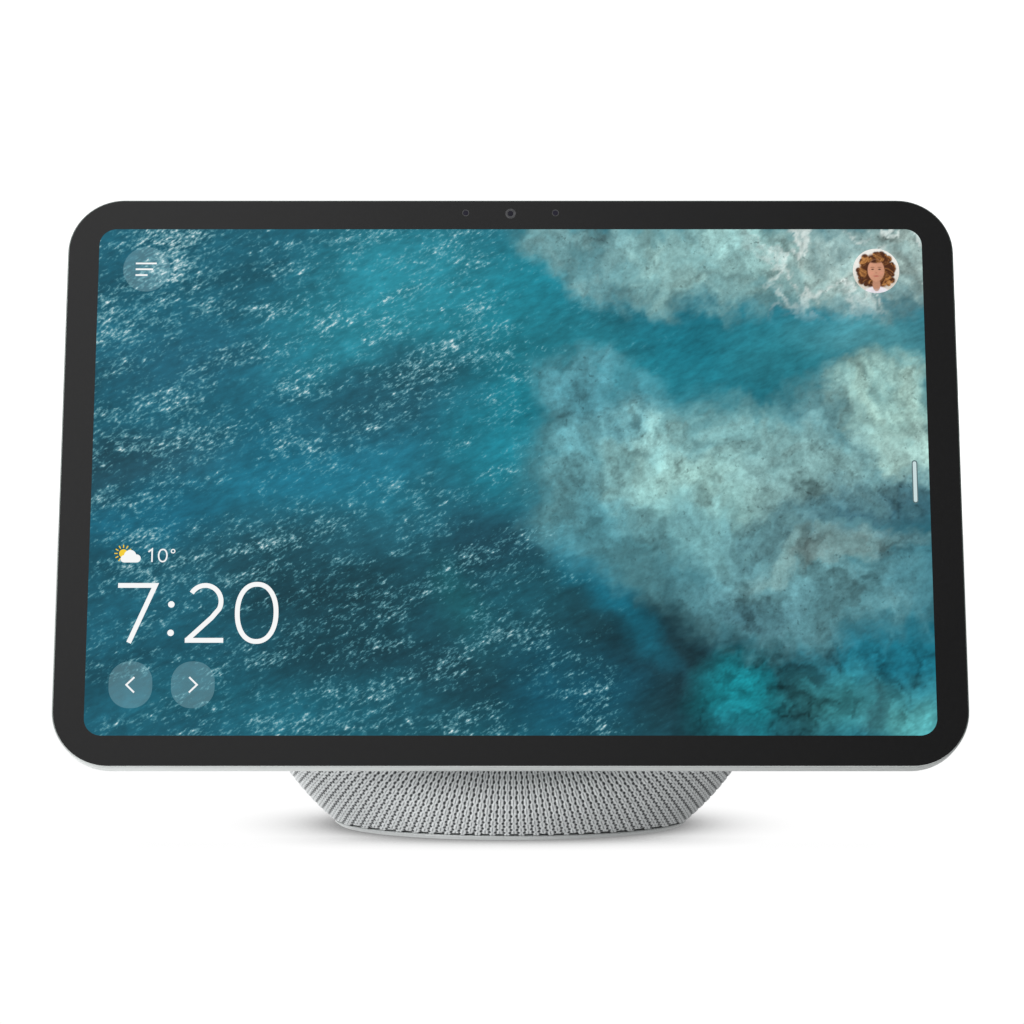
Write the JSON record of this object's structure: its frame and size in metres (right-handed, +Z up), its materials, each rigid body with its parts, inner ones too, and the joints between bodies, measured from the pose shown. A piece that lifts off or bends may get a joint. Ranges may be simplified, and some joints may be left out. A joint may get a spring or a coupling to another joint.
{
  "type": "smart display",
  "caption": "Free-standing smart display: a leaning touch screen slab on a round fabric-covered speaker base, with press keys on its edge.",
  "frame": {"origin": "centre of the rubber foot's underside, on the table", "axes": "+X to the viewer's right along the screen, +Y to the back, +Z up; the screen faces -Y"},
  "size_m": [0.2544, 0.1473, 0.1819],
  "materials": {
    "cover_glass": "black-bordered glass over a lit screen",
    "rear_cover": "satin light grey",
    "key_plastic": "satin light grey",
    "collar_plastic": "satin light grey",
    "panel_plastic": "fine texture, light grey",
    "foot_plastic": "satin light grey",
    "knit_fabric": "open 3-D knit",
    "foot_rubber": "matte",
    "surround_rubber": "matte",
    "inner_plastic": "moulded black",
    "camera_body": "moulded black",
    "jack_plastic": "moulded black",
    "lens": "coated dark glass",
    "lcd_panel": "liquid crystal panel",
    "light_guide": "clear acrylic",
    "backlight_pan": "pressed sheet",
    "midframe": "die cast",
    "heat_sink": "extruded",
    "plated_steel": "zinc plated",
    "screw_steel": "zinc plated",
    "ferrite": "ceramic magnet",
    "cone": "coated paper",
    "circuit_board": "solder mask",
    "flex_film": "polyimide film"
  },
  "bodies": {
    "housing": {"cover_glass": "cover_glass", "lcd_panel": "lcd_panel", "light_guide": "light_guide", "backlight_pan": "backlight_pan", "display_midframe": "midframe", "display_rear_cover": "rear_cover", "camera_module": "camera_body", "camera_lens": "lens", "left_sensor_window": "lens", "right_sensor_window": "lens", "sensor_board": "circuit_board", "button_board": "circuit_board", "display_driver_board": "circuit_board", "left_antenna": "flex_film", "right_antenna": "flex_film", "display_cable": "flex_film", "front_collar": "collar_plastic", "mounting_plate": "plated_steel", "base_shell": "inner_plastic", "fabric_cover": "knit_fabric", "rear_panel": "panel_plastic", "power_jack": "jack_plastic", "power_board": "circuit_board", "main_board": "circuit_board", "shield_can": "plated_steel", "heat_sink": "heat_sink", "speaker_enclosure": "inner_plastic", "woofer_frame": "plated_steel", "woofer_magnet": "ferrite", "woofer_surround": "surround_rubber", "left_driver_frame": "plated_steel", "left_driver_magnet": "ferrite", "left_driver_surround": "surround_rubber", "right_driver_frame": "plated_steel", "right_driver_magnet": "ferrite", "right_driver_surround": "surround_rubber", "bottom_plate": "inner_plastic", "foot_ring": "foot_plastic", "rubber_foot": "foot_rubber", "ballast_weight": "plated_steel", "display_screw_1": "screw_steel", "bottom_screw_1": "screw_steel", "display_screw_2": "screw_steel", "bottom_screw_2": "screw_steel", "display_screw_3": "screw_steel", "bottom_screw_3": "screw_steel", "display_screw_4": "screw_steel", "bottom_screw_4": "screw_steel"},
    "mic_camera_key": {"mic_camera_button": "key_plastic"},
    "volume_up_key": {"volume_up_button": "key_plastic"},
    "volume_down_key": {"volume_down_button": "key_plastic"},
    "woofer_diaphragm": {"woofer_cone": "cone"},
    "left_diaphragm": {"left_driver_cone": "cone"},
    "right_diaphragm": {"right_driver_cone": "cone"}
  },
  "joints": [
    {"name": "mic_camera_press", "type": "slide", "parent": "housing", "child": "mic_camera_key", "axis": [-1, 0, 0], "range_m": [0, 0.0004], "stiffness_N_per_m": 2500},
    {"name": "volume_up_press", "type": "slide", "parent": "housing", "child": "volume_up_key", "axis": [-1, 0, 0], "range_m": [0, 0.0004], "stiffness_N_per_m": 2500},
    {"name": "volume_down_press", "type": "slide", "parent": "housing", "child": "volume_down_key", "axis": [-1, 0, 0], "range_m": [0, 0.0004], "stiffness_N_per_m": 2500},
    {"name": "woofer_stroke", "type": "slide", "parent": "housing", "child": "woofer_diaphragm", "axis": [0, 0.2419, 0.9703], "range_m": [-0.0025, 0.0025], "stiffness_N_per_m": 1500},
    {"name": "left_driver_stroke", "type": "slide", "parent": "housing", "child": "left_diaphragm", "axis": [-1, 0, 0], "range_m": [-0.0008, 0.0008], "stiffness_N_per_m": 1500},
    {"name": "right_driver_stroke", "type": "slide", "parent": "housing", "child": "right_diaphragm", "axis": [1, 0, 0], "range_m": [-0.0008, 0.0008], "stiffness_N_per_m": 1500}
  ]
}
